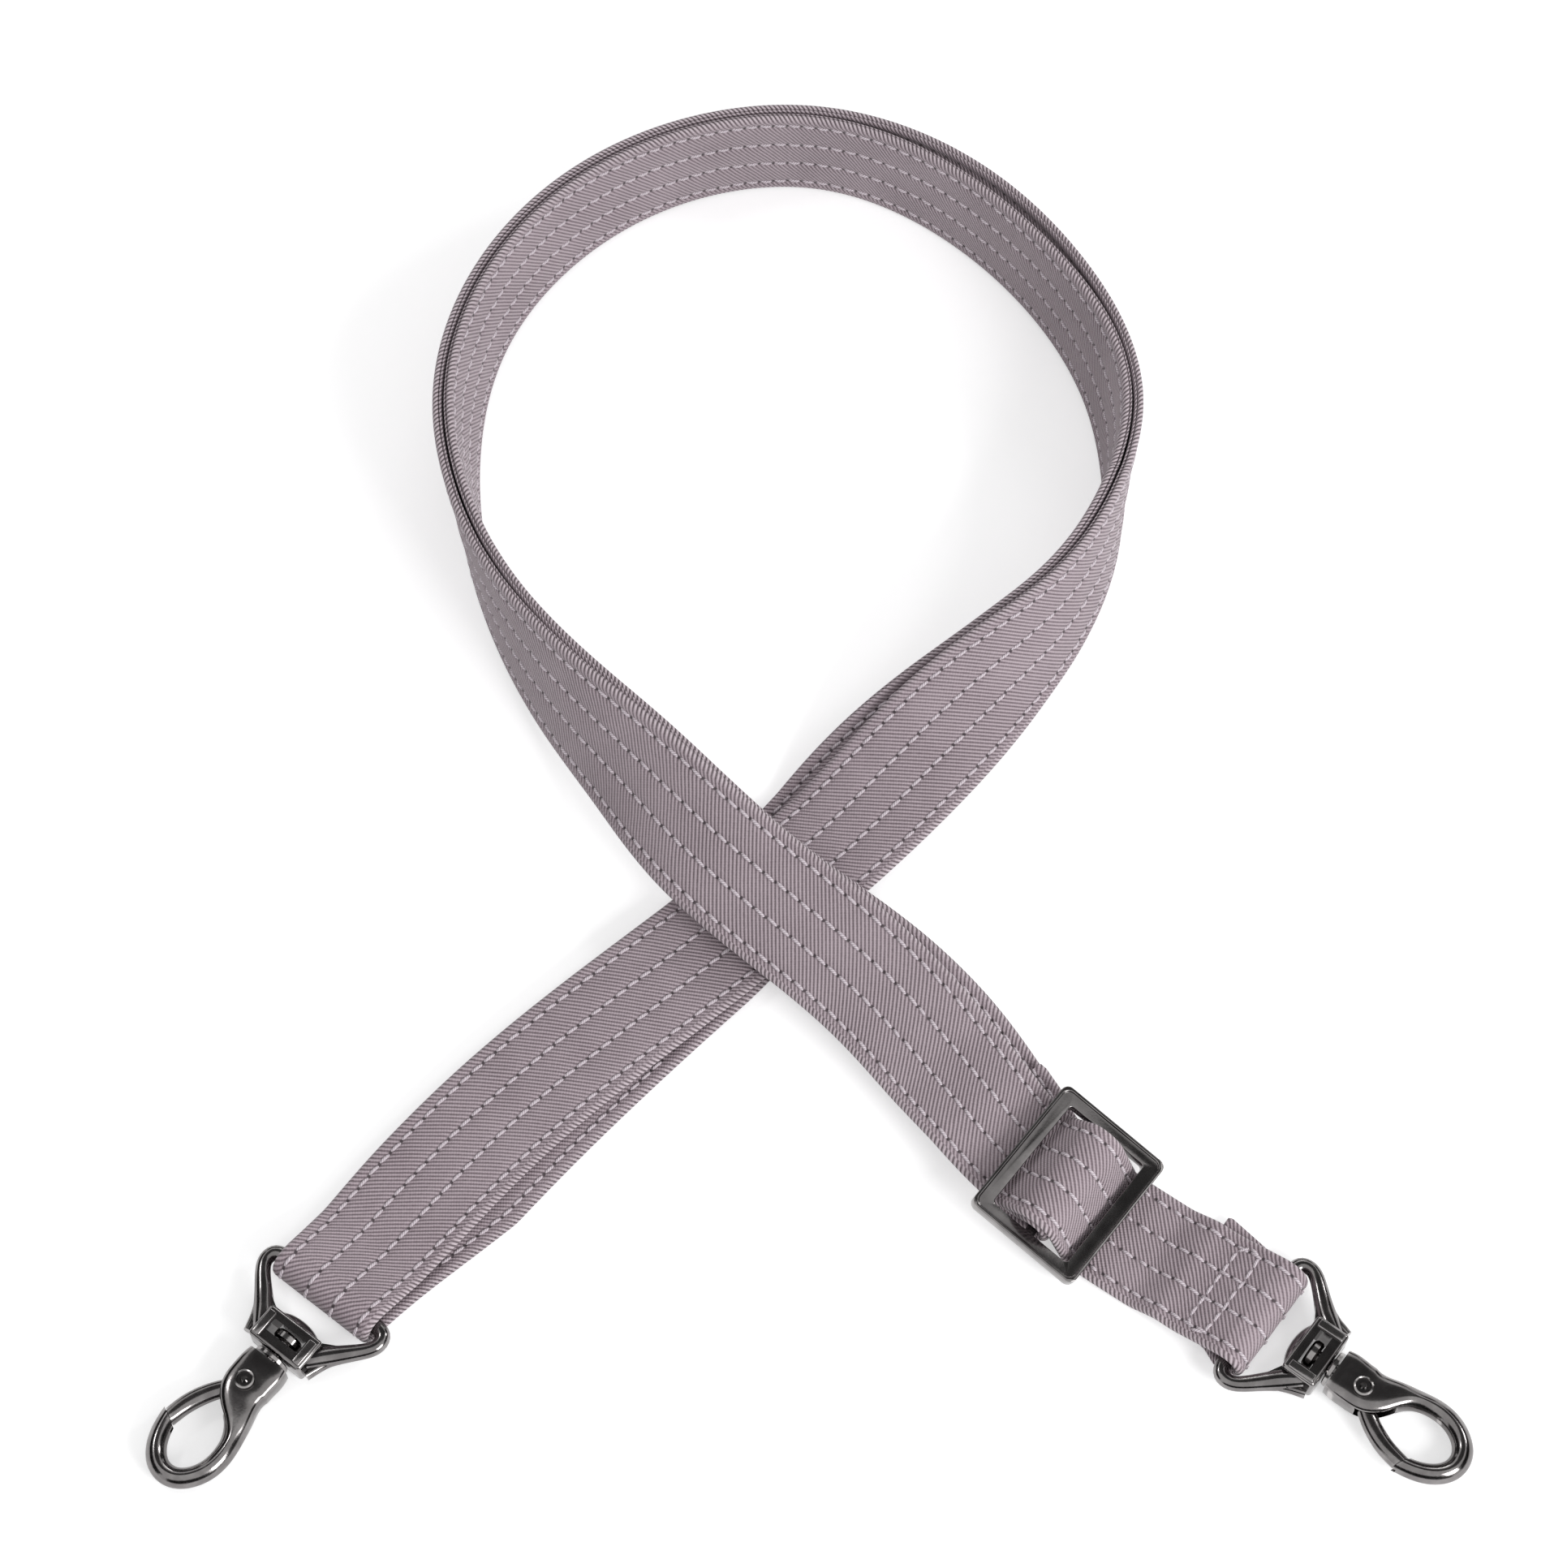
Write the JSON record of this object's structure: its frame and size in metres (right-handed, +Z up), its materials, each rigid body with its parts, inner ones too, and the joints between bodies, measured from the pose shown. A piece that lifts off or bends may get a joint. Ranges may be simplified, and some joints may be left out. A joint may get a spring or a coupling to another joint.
{
  "type": "detachable bag strap",
  "caption": "Flat stitched fabric shoulder strap that doubles back through a metal slider, with a swivel snap hook at each end.",
  "frame": {"origin": "middle of the laid strap's box, on the table", "axes": "+Z up from the table, +Y from the two hooks towards the loop, +X towards the hook with the slider"},
  "size_m": [0.2498, 0.3, 0.0269],
  "materials": {
    "strap_fabric": "fine diagonal rib, dusty mauve grey",
    "dark_nickel": "polished dark nickel"
  },
  "bodies": {
    "strap": {"strap_hook_end": "strap_fabric", "strap_end_run": "strap_fabric", "strap_upper_run": "strap_fabric", "strap_loop": "strap_fabric", "strap_lower_run": "strap_fabric"},
    "slider": {"slider_frame": "dark_nickel", "strap_wave": "strap_fabric", "strap_slider_wrap": "strap_fabric"},
    "left_bail": {"left_bail": "dark_nickel"},
    "left_hook": {"left_stud": "dark_nickel", "left_hook": "dark_nickel", "left_rivet": "dark_nickel", "left_gate_spring": "dark_nickel"},
    "left_gate": {"left_gate": "dark_nickel"},
    "right_bail": {"right_bail": "dark_nickel"},
    "right_hook": {"right_stud": "dark_nickel", "right_hook": "dark_nickel", "right_rivet": "dark_nickel", "right_gate_spring": "dark_nickel"},
    "right_gate": {"right_gate": "dark_nickel"}
  },
  "joints": [
    {"name": "slider_slide", "type": "slide", "parent": "strap", "child": "slider", "axis": [-0.7888, 0.6147, 0], "range_m": [-0.005, 0.012], "deforming": ["strap_end_run", "strap_upper_run", "strap_lower_run"]},
    {"name": "left_bail_swing", "type": "hinge", "parent": "strap", "child": "left_bail", "pos_m": [-0.09141, -0.11135, 0.0042], "axis": [0.7847, -0.6198, 0], "range_deg": [-90, 90]},
    {"name": "left_hook_swivel", "type": "hinge", "parent": "left_bail", "child": "left_hook", "pos_m": [-0.09141, -0.11135, 0.0042], "axis": [-0.6196, -0.7844, -0.0284], "continuous": true},
    {"name": "left_gate_hinge", "type": "hinge", "parent": "left_hook", "child": "left_gate", "pos_m": [-0.1066, -0.1298, 0.00352], "axis": [-0.0176, -0.0223, 0.9996], "range_deg": [0, 28], "stiffness_Nm_per_rad": 0.003, "springref_deg": -28.65},
    {"name": "right_bail_swing", "type": "hinge", "parent": "strap", "child": "right_bail", "pos_m": [0.0856, -0.11647, 0.0042], "axis": [0.5996, 0.8003, 0], "range_deg": [-90, 90]},
    {"name": "right_hook_swivel", "type": "hinge", "parent": "right_bail", "child": "right_hook", "pos_m": [0.0856, -0.11647, 0.0042], "axis": [0.8, -0.5994, -0.0279], "continuous": true},
    {"name": "right_gate_hinge", "type": "hinge", "parent": "right_hook", "child": "right_gate", "pos_m": [0.10443, -0.1312, 0.00353], "axis": [0.0223, -0.0167, 0.9996], "range_deg": [0, 28], "stiffness_Nm_per_rad": 0.003, "springref_deg": -28.65}
  ]
}
